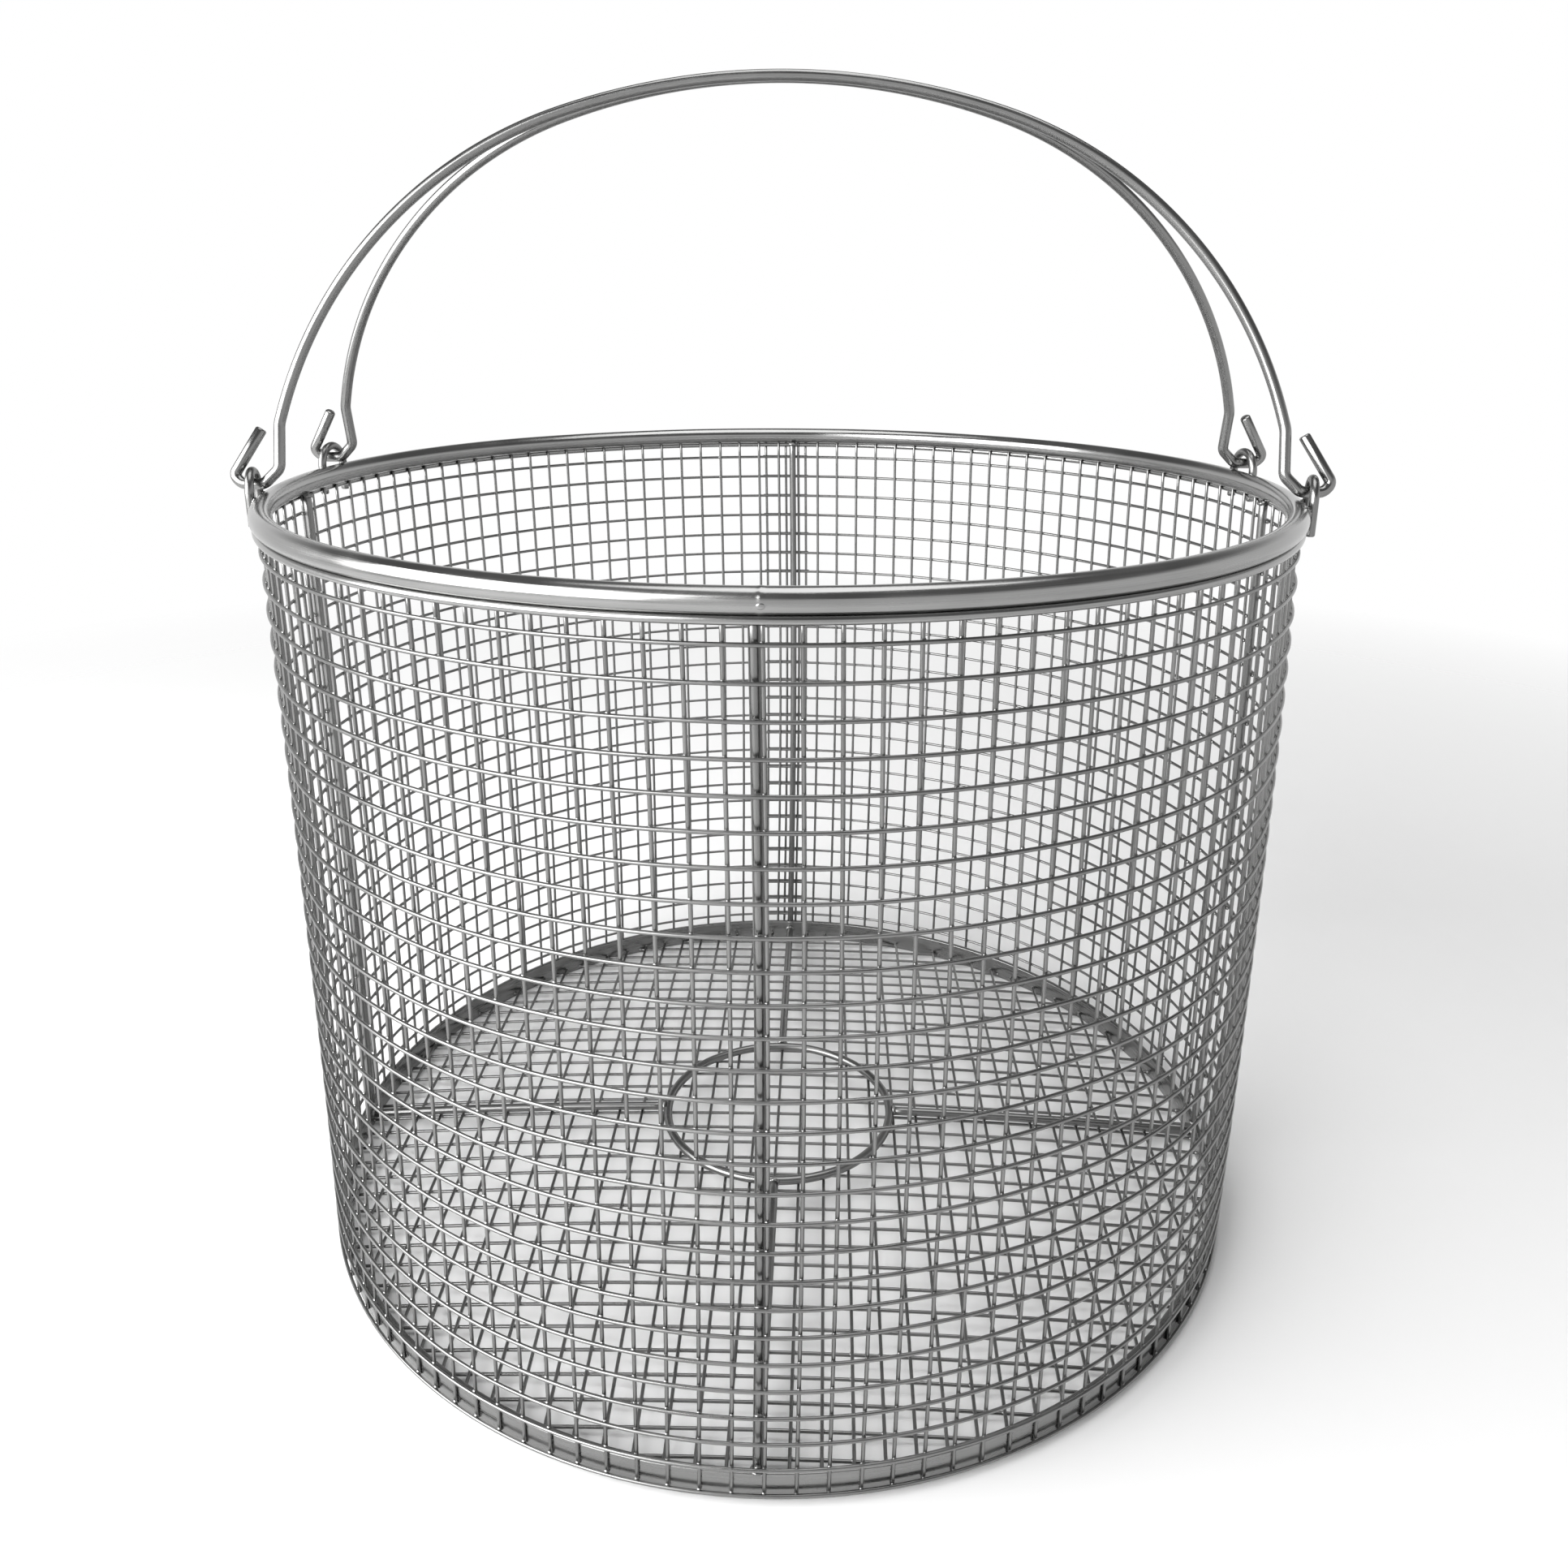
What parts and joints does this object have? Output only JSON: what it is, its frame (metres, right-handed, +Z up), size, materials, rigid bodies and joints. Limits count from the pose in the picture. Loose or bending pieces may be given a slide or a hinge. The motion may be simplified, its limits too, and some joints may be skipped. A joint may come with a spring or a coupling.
{
  "type": "wire mesh basket strainer",
  "caption": "Round straight-sided basket of welded square wire mesh with a heavy rod rim, flat bottom band, spoked floor and two folding bail handles.",
  "frame": {"origin": "centre of the basket at the bottom edge of the flat bottom band, on the surface it stands on", "axes": "+Z up through the basket's mouth; +X along both bail hinge axes; -Y is the front"},
  "size_m": [0.4884, 0.4748, 0.5438],
  "materials": {
    "rim_rod": "bright drawn and polished stainless rod",
    "mesh_wire": "electropolished stainless wire, resistance welded",
    "frame_rod": "drawn stainless rod, slightly dull, weld marks",
    "flat_bar": "rolled flat stainless bar",
    "bail_rod": "drawn stainless rod, formed"
  },
  "bodies": {
    "basket": {"top_rim_ring": "rim_rod", "rim_hoop": "rim_rod", "wall_wires": "mesh_wire", "wall_hoops_lower": "mesh_wire", "wall_hoops_upper": "mesh_wire", "wall_mesh_lap": "mesh_wire", "bottom_band": "flat_bar", "floor_wires_across": "mesh_wire", "floor_wires_along": "mesh_wire", "floor_center_ring": "frame_rod", "floor_spoke_front": "frame_rod", "floor_spoke_rear": "frame_rod", "floor_spoke_left": "frame_rod", "floor_spoke_right": "frame_rod", "wall_strut_front": "frame_rod", "wall_strut_rear": "frame_rod", "wall_strut_left": "frame_rod", "wall_strut_right": "frame_rod", "ear_front_left": "frame_rod", "ear_front_right": "frame_rod", "ear_rear_left": "frame_rod", "ear_rear_right": "frame_rod"},
    "front_bail": {"front_bail": "bail_rod"},
    "rear_bail": {"rear_bail": "bail_rod"}
  },
  "joints": [
    {"name": "front_bail_swing", "type": "hinge", "parent": "basket", "child": "front_bail", "pos_m": [0, -0.0485, 0.3683], "axis": [1, 0, 0], "range_deg": [0, 104.8]},
    {"name": "rear_bail_swing", "type": "hinge", "parent": "basket", "child": "rear_bail", "pos_m": [0, 0.0485, 0.3683], "axis": [-1, 0, 0], "range_deg": [0, 104.8]}
  ]
}
